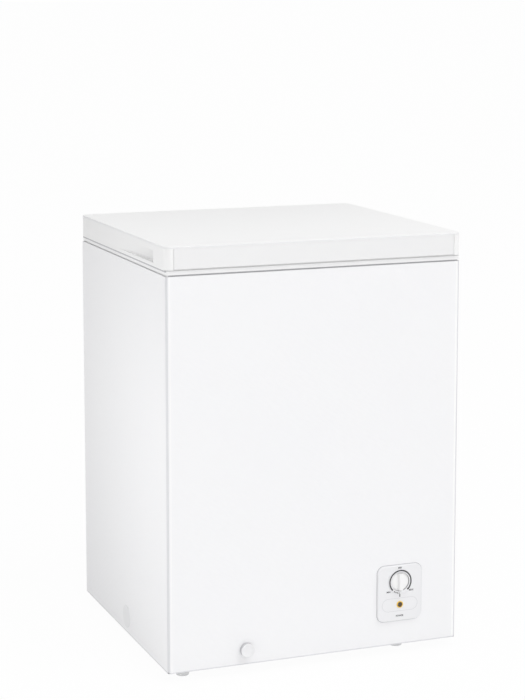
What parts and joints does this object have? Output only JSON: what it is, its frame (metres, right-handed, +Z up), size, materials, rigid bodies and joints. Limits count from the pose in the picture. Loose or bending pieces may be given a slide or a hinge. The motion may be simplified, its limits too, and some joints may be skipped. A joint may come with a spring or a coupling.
{
  "type": "chest freezer",
  "caption": "Insulated white steel cabinet on feet with a rear-hinged foam lid, magnetic seal, hanging wire basket, compressor bay, thermostat dial, indicator lamp and drain.",
  "frame": {"origin": "on the floor, under the middle of the whole object's box", "axes": "+X to the right seen from the front, +Y to the back, +Z up"},
  "size_m": [0.621, 0.5926, 0.85],
  "materials": {
    "white_sheet_steel": "satin",
    "back_sheet_steel": "matte",
    "galvanised_steel": "satin",
    "black_enamel": "gloss",
    "pump_iron": "matte",
    "aluminium_tube": "satin",
    "steel_tube": "satin",
    "copper_tube": "satin",
    "liner_aluminium": "satin",
    "rim_plastic": "matte",
    "lid_plastic": "satin",
    "lid_liner_plastic": "satin",
    "gasket_vinyl": "matte",
    "magnet_strip": "matte",
    "panel_plastic": "satin",
    "knob_plastic": "satin",
    "white_plastic": "satin",
    "stopper_rubber": "matte",
    "black_plastic": "matte",
    "foot_plastic": "matte",
    "zinc_steel": "satin",
    "hinge_steel": "satin",
    "spring_steel": "satin",
    "mount_rubber": "matte",
    "amber_lens": "gloss",
    "lamp_plastic": "gloss",
    "wire_insulation": "matte",
    "basket_wire": "satin",
    "insulation_foam": "matte"
  },
  "bodies": {
    "cabinet": {"front_panel": "white_sheet_steel", "left_side_panel": "white_sheet_steel", "right_side_panel": "white_sheet_steel", "back_panel": "back_sheet_steel", "rear_cover": "back_sheet_steel", "base_pan": "galvanised_steel", "compressor_bay_shroud": "galvanised_steel", "compressor_tray": "galvanised_steel", "compressor_mount_plate": "galvanised_steel", "compressor_housing": "black_enamel", "compressor_pump": "pump_iron", "evaporator_coil": "aluminium_tube", "condenser_coil": "steel_tube", "suction_line": "copper_tube", "discharge_line": "copper_tube", "filter_drier": "copper_tube", "capillary_tube": "copper_tube", "thermostat_sensor_tube": "copper_tube", "inner_liner": "liner_aluminium", "top_rim": "rim_plastic", "control_bezel": "panel_plastic", "fill_plug": "white_plastic", "drain_pipe": "white_plastic", "side_vent_grille": "white_plastic", "terminal_cover": "black_plastic", "thermostat_body": "black_plastic", "cord_gland": "black_plastic", "feet": "foot_plastic", "compressor_bolts": "zinc_steel", "foot_screws": "zinc_steel", "rear_cover_screws": "zinc_steel", "hinge_base_screws": "zinc_steel", "hinge_pin_left": "zinc_steel", "hinge_pin_right": "zinc_steel", "hinge_base_left": "hinge_steel", "hinge_base_right": "hinge_steel", "hinge_spring_left": "spring_steel", "hinge_spring_right": "spring_steel", "compressor_grommets": "mount_rubber", "indicator_lens": "amber_lens", "indicator_lamp": "lamp_plastic", "wiring_harness": "wire_insulation", "cabinet_foam": "insulation_foam"},
    "lid": {"lid_frame": "lid_plastic", "lid_top": "lid_plastic", "lid_front_plate": "lid_plastic", "lid_foam": "insulation_foam", "lid_liner": "lid_liner_plastic", "lid_gasket": "gasket_vinyl", "gasket_magnets": "magnet_strip", "hinge_arm_left": "hinge_steel", "hinge_arm_right": "hinge_steel", "hinge_arm_screws": "zinc_steel"},
    "dial": {"thermostat_knob": "knob_plastic", "thermostat_shaft": "zinc_steel"},
    "drain_cap": {"drain_cap": "white_plastic"},
    "drain_stopper": {"drain_stopper": "stopper_rubber"},
    "basket": {"basket_rim": "basket_wire", "basket_long_wires": "basket_wire", "basket_cross_wires": "basket_wire"}
  },
  "joints": [
    {"name": "lid_hinge", "type": "hinge", "parent": "cabinet", "child": "lid", "pos_m": [0, 0.2893, 0.803], "axis": [-1, 0, 0], "range_deg": [0, 80]},
    {"name": "dial_turn", "type": "hinge", "parent": "cabinet", "child": "dial", "pos_m": [0.181, -0.2883, 0.1495], "axis": [0, 1, 0], "range_deg": [0, 310]},
    {"name": "drain_cap_pull", "type": "slide", "parent": "cabinet", "child": "drain_cap", "axis": [0, -1, 0], "range_m": [0, 0.025]},
    {"name": "drain_stopper_lift", "type": "slide", "parent": "cabinet", "child": "drain_stopper", "axis": [0, 0, 1], "range_m": [0, 0.03]},
    {"name": "basket_slide", "type": "slide", "parent": "cabinet", "child": "basket", "axis": [-1, 0, 0], "range_m": [0, 0.29]}
  ]
}
